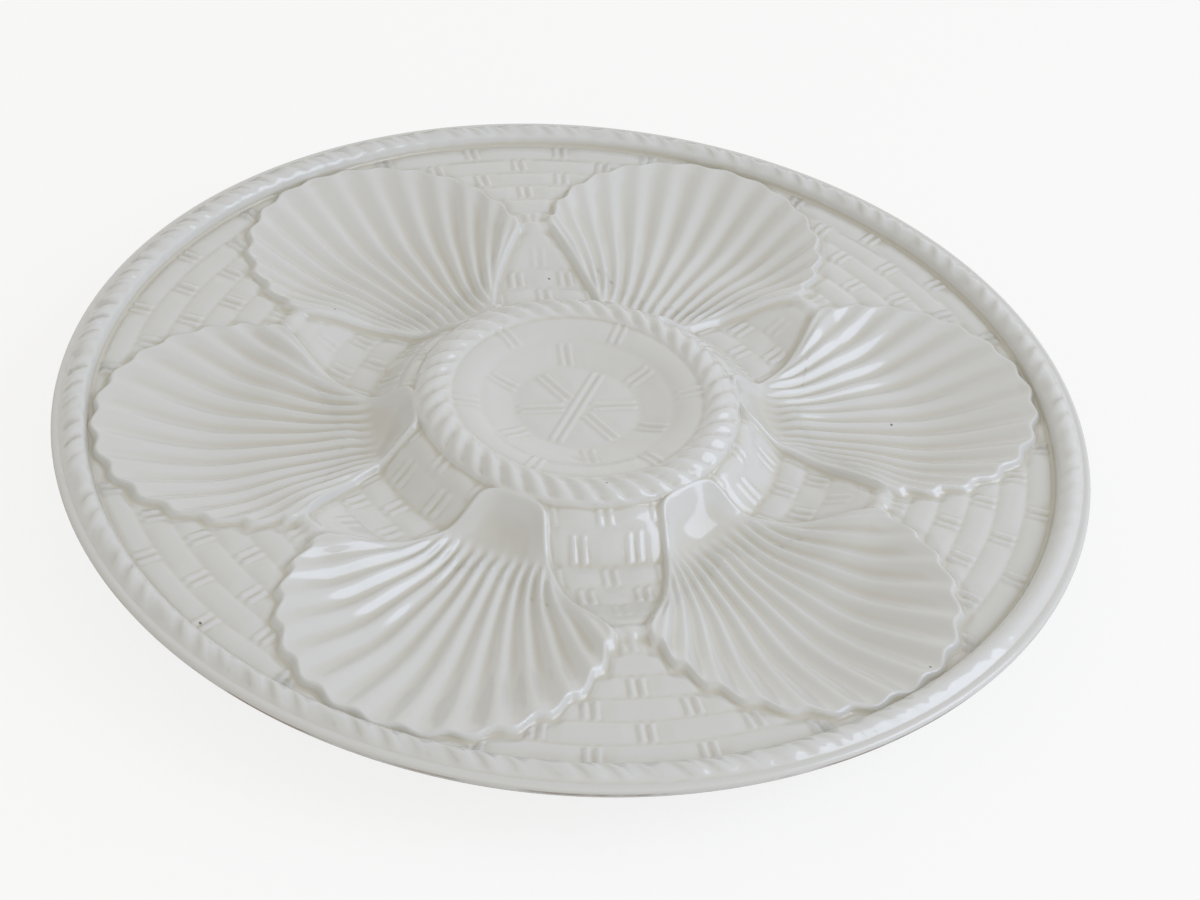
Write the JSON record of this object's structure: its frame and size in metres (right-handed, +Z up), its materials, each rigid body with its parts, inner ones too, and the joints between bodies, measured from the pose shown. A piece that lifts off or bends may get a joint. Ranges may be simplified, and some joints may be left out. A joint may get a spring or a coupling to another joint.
{
  "type": "oyster plate",
  "caption": "Round white-glazed oyster plate with fluted shell-shaped wells round a small centre dish, on a basket-weave ground with twisted-rope mouldings.",
  "frame": {"origin": "on the plate's axis, in the plane of the foot ring's standing face", "axes": "+Z up along the plate's axis; +X along the axis of the first shell well"},
  "size_m": [0.245, 0.245, 0.0245],
  "materials": {
    "white_glaze": "glossy cream-white tin glaze, pooled a little darker in the hollows",
    "edge_glaze": "the same glaze, worn thin to a faint brown line at the outermost edge",
    "foot_clay": "glazed sides with a rubbed, bare clay standing face"
  },
  "bodies": {
    "root": {"rim_edge": "edge_glaze", "rim_rope": "white_glaze", "shell_well_1": "white_glaze", "shell_well_2": "white_glaze", "shell_well_3": "white_glaze", "shell_well_4": "white_glaze", "shell_well_5": "white_glaze", "shell_well_6": "white_glaze", "outer_weave_1": "white_glaze", "outer_weave_2": "white_glaze", "outer_weave_3": "white_glaze", "outer_weave_4": "white_glaze", "outer_weave_5": "white_glaze", "outer_weave_6": "white_glaze", "inner_weave_1": "white_glaze", "inner_weave_2": "white_glaze", "inner_weave_3": "white_glaze", "inner_weave_4": "white_glaze", "inner_weave_5": "white_glaze", "inner_weave_6": "white_glaze", "centre_rope": "white_glaze", "centre_dish": "white_glaze", "foot_ring": "foot_clay"}
  },
  "joints": []
}
